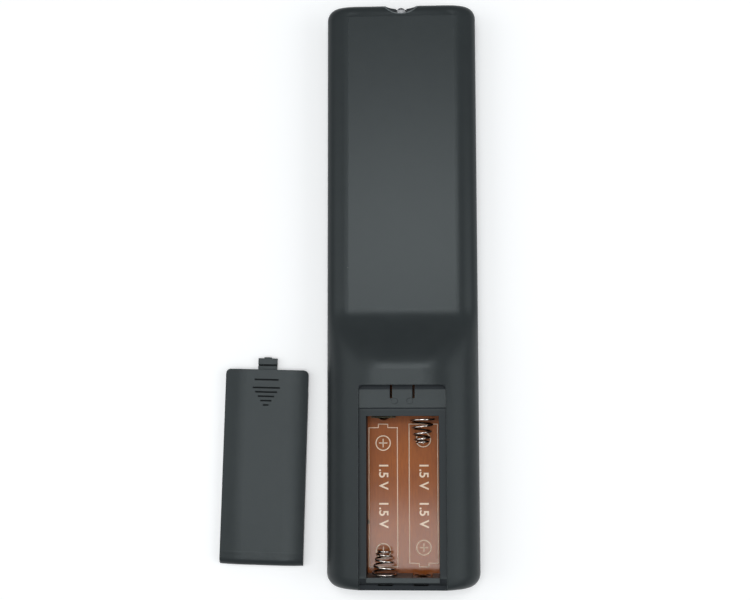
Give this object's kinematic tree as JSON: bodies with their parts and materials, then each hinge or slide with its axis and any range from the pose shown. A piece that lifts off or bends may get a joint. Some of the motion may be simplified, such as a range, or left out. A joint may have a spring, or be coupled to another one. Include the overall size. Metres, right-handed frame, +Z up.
{
  "type": "infrared remote control",
  "caption": "Slim infrared remote control, face down, with an empty battery bay for small cells in its hump, conical springs, and its arched battery cover lying beside it.",
  "frame": {"origin": "middle of the front rim's flat face, on which the remote lies face down", "axes": "+Z up, out of the back of the remote; +Y along the remote, towards the emitter; +X to the right seen from behind with the emitter at the top"},
  "size_m": [0.0836, 0.1864, 0.02],
  "materials": {
    "casing": "fine matte texture",
    "board": "glossy brown phenolic laminate",
    "key_rubber": "matte silicone",
    "spring_wire": "nickel plated",
    "contact_plate": "nickel plated",
    "clear_resin": "clear",
    "lead_wire": "tinned",
    "black_resin": "satin",
    "dipped_ceramic": "satin",
    "capacitor_sleeve": "satin sleeve",
    "resistor_coat": "satin",
    "red_rubber": "matte silicone",
    "green_rubber": "matte silicone",
    "yellow_rubber": "matte silicone",
    "blue_rubber": "matte silicone"
  },
  "bodies": {
    "remote": {"rear_casing": "casing", "front_casing": "casing", "circuit_board": "board", "key_mat": "key_rubber", "key_webs": "key_rubber", "left_battery_spring": "spring_wire", "right_battery_spring": "spring_wire", "head_contact": "contact_plate", "foot_contact": "contact_plate", "infrared_emitter": "clear_resin", "emitter_leads": "lead_wire", "controller_blob": "black_resin", "ceramic_resonator": "dipped_ceramic", "smoothing_capacitor": "capacitor_sleeve", "driver_transistor": "black_resin", "resistors": "resistor_coat", "resistor_leads": "lead_wire", "ceramic_capacitors": "dipped_ceramic", "wire_jumpers": "lead_wire"},
    "battery_cover": {"battery_cover": "casing"},
    "key_0": {"key_0": "key_rubber"},
    "key_1": {"key_1": "key_rubber"},
    "key_2": {"key_2": "key_rubber"},
    "key_3": {"key_3": "key_rubber"},
    "key_4": {"key_4": "key_rubber"},
    "key_5": {"key_5": "key_rubber"},
    "key_6": {"key_6": "key_rubber"},
    "key_7": {"key_7": "key_rubber"},
    "key_8": {"key_8": "key_rubber"},
    "key_9": {"key_9": "key_rubber"},
    "key_power": {"key_power": "key_rubber"},
    "key_mute": {"key_mute": "key_rubber"},
    "key_info": {"key_info": "key_rubber"},
    "key_guide": {"key_guide": "key_rubber"},
    "key_volume_up": {"key_volume_up": "key_rubber"},
    "key_volume_down": {"key_volume_down": "key_rubber"},
    "key_channel_up": {"key_channel_up": "key_rubber"},
    "key_channel_down": {"key_channel_down": "key_rubber"},
    "key_menu": {"key_menu": "key_rubber"},
    "key_return": {"key_return": "key_rubber"},
    "key_up": {"key_up": "key_rubber"},
    "key_down": {"key_down": "key_rubber"},
    "key_left": {"key_left": "key_rubber"},
    "key_right": {"key_right": "key_rubber"},
    "key_ok": {"key_ok": "key_rubber"},
    "key_rewind": {"key_rewind": "key_rubber"},
    "key_play": {"key_play": "key_rubber"},
    "key_stop": {"key_stop": "key_rubber"},
    "key_forward": {"key_forward": "key_rubber"},
    "key_red": {"key_red": "red_rubber"},
    "key_green": {"key_green": "green_rubber"},
    "key_yellow": {"key_yellow": "yellow_rubber"},
    "key_blue": {"key_blue": "blue_rubber"}
  },
  "joints": [
    {"name": "cover_lift", "type": "slide", "parent": "remote", "child": "battery_cover", "axis": [0, 0, 1], "range_m": [0, 0.05]},
    {"name": "key_0_press", "type": "slide", "parent": "remote", "child": "key_0", "axis": [0, 0, 1], "range_m": [0, 0.0008], "stiffness_N_per_m": 300, "deforming": ["key_webs"]},
    {"name": "key_1_press", "type": "slide", "parent": "remote", "child": "key_1", "axis": [0, 0, 1], "range_m": [0, 0.0008], "stiffness_N_per_m": 300, "deforming": ["key_webs"]},
    {"name": "key_2_press", "type": "slide", "parent": "remote", "child": "key_2", "axis": [0, 0, 1], "range_m": [0, 0.0008], "stiffness_N_per_m": 300, "deforming": ["key_webs"]},
    {"name": "key_3_press", "type": "slide", "parent": "remote", "child": "key_3", "axis": [0, 0, 1], "range_m": [0, 0.0008], "stiffness_N_per_m": 300, "deforming": ["key_webs"]},
    {"name": "key_4_press", "type": "slide", "parent": "remote", "child": "key_4", "axis": [0, 0, 1], "range_m": [0, 0.0008], "stiffness_N_per_m": 300, "deforming": ["key_webs"]},
    {"name": "key_5_press", "type": "slide", "parent": "remote", "child": "key_5", "axis": [0, 0, 1], "range_m": [0, 0.0008], "stiffness_N_per_m": 300, "deforming": ["key_webs"]},
    {"name": "key_6_press", "type": "slide", "parent": "remote", "child": "key_6", "axis": [0, 0, 1], "range_m": [0, 0.0008], "stiffness_N_per_m": 300, "deforming": ["key_webs"]},
    {"name": "key_7_press", "type": "slide", "parent": "remote", "child": "key_7", "axis": [0, 0, 1], "range_m": [0, 0.0008], "stiffness_N_per_m": 300, "deforming": ["key_webs"]},
    {"name": "key_8_press", "type": "slide", "parent": "remote", "child": "key_8", "axis": [0, 0, 1], "range_m": [0, 0.0008], "stiffness_N_per_m": 300, "deforming": ["key_webs"]},
    {"name": "key_9_press", "type": "slide", "parent": "remote", "child": "key_9", "axis": [0, 0, 1], "range_m": [0, 0.0008], "stiffness_N_per_m": 300, "deforming": ["key_webs"]},
    {"name": "key_power_press", "type": "slide", "parent": "remote", "child": "key_power", "axis": [0, 0, 1], "range_m": [0, 0.0008], "stiffness_N_per_m": 300, "deforming": ["key_webs"]},
    {"name": "key_mute_press", "type": "slide", "parent": "remote", "child": "key_mute", "axis": [0, 0, 1], "range_m": [0, 0.0008], "stiffness_N_per_m": 300, "deforming": ["key_webs"]},
    {"name": "key_info_press", "type": "slide", "parent": "remote", "child": "key_info", "axis": [0, 0, 1], "range_m": [0, 0.0008], "stiffness_N_per_m": 300, "deforming": ["key_webs"]},
    {"name": "key_guide_press", "type": "slide", "parent": "remote", "child": "key_guide", "axis": [0, 0, 1], "range_m": [0, 0.0008], "stiffness_N_per_m": 300, "deforming": ["key_webs"]},
    {"name": "key_volume_up_press", "type": "slide", "parent": "remote", "child": "key_volume_up", "axis": [0, 0, 1], "range_m": [0, 0.0008], "stiffness_N_per_m": 300, "deforming": ["key_webs"]},
    {"name": "key_volume_down_press", "type": "slide", "parent": "remote", "child": "key_volume_down", "axis": [0, 0, 1], "range_m": [0, 0.0008], "stiffness_N_per_m": 300, "deforming": ["key_webs"]},
    {"name": "key_channel_up_press", "type": "slide", "parent": "remote", "child": "key_channel_up", "axis": [0, 0, 1], "range_m": [0, 0.0008], "stiffness_N_per_m": 300, "deforming": ["key_webs"]},
    {"name": "key_channel_down_press", "type": "slide", "parent": "remote", "child": "key_channel_down", "axis": [0, 0, 1], "range_m": [0, 0.0008], "stiffness_N_per_m": 300, "deforming": ["key_webs"]},
    {"name": "key_menu_press", "type": "slide", "parent": "remote", "child": "key_menu", "axis": [0, 0, 1], "range_m": [0, 0.0008], "stiffness_N_per_m": 300, "deforming": ["key_webs"]},
    {"name": "key_return_press", "type": "slide", "parent": "remote", "child": "key_return", "axis": [0, 0, 1], "range_m": [0, 0.0008], "stiffness_N_per_m": 300, "deforming": ["key_webs"]},
    {"name": "key_up_press", "type": "slide", "parent": "remote", "child": "key_up", "axis": [0, 0, 1], "range_m": [0, 0.0008], "stiffness_N_per_m": 300, "deforming": ["key_webs"]},
    {"name": "key_down_press", "type": "slide", "parent": "remote", "child": "key_down", "axis": [0, 0, 1], "range_m": [0, 0.0008], "stiffness_N_per_m": 300, "deforming": ["key_webs"]},
    {"name": "key_left_press", "type": "slide", "parent": "remote", "child": "key_left", "axis": [0, 0, 1], "range_m": [0, 0.0008], "stiffness_N_per_m": 300, "deforming": ["key_webs"]},
    {"name": "key_right_press", "type": "slide", "parent": "remote", "child": "key_right", "axis": [0, 0, 1], "range_m": [0, 0.0008], "stiffness_N_per_m": 300, "deforming": ["key_webs"]},
    {"name": "key_ok_press", "type": "slide", "parent": "remote", "child": "key_ok", "axis": [0, 0, 1], "range_m": [0, 0.0008], "stiffness_N_per_m": 300, "deforming": ["key_webs"]},
    {"name": "key_rewind_press", "type": "slide", "parent": "remote", "child": "key_rewind", "axis": [0, 0, 1], "range_m": [0, 0.0008], "stiffness_N_per_m": 300, "deforming": ["key_webs"]},
    {"name": "key_play_press", "type": "slide", "parent": "remote", "child": "key_play", "axis": [0, 0, 1], "range_m": [0, 0.0008], "stiffness_N_per_m": 300, "deforming": ["key_webs"]},
    {"name": "key_stop_press", "type": "slide", "parent": "remote", "child": "key_stop", "axis": [0, 0, 1], "range_m": [0, 0.0008], "stiffness_N_per_m": 300, "deforming": ["key_webs"]},
    {"name": "key_forward_press", "type": "slide", "parent": "remote", "child": "key_forward", "axis": [0, 0, 1], "range_m": [0, 0.0008], "stiffness_N_per_m": 300, "deforming": ["key_webs"]},
    {"name": "key_red_press", "type": "slide", "parent": "remote", "child": "key_red", "axis": [0, 0, 1], "range_m": [0, 0.0008], "stiffness_N_per_m": 300, "deforming": ["key_webs"]},
    {"name": "key_green_press", "type": "slide", "parent": "remote", "child": "key_green", "axis": [0, 0, 1], "range_m": [0, 0.0008], "stiffness_N_per_m": 300, "deforming": ["key_webs"]},
    {"name": "key_yellow_press", "type": "slide", "parent": "remote", "child": "key_yellow", "axis": [0, 0, 1], "range_m": [0, 0.0008], "stiffness_N_per_m": 300, "deforming": ["key_webs"]},
    {"name": "key_blue_press", "type": "slide", "parent": "remote", "child": "key_blue", "axis": [0, 0, 1], "range_m": [0, 0.0008], "stiffness_N_per_m": 300, "deforming": ["key_webs"]}
  ]
}
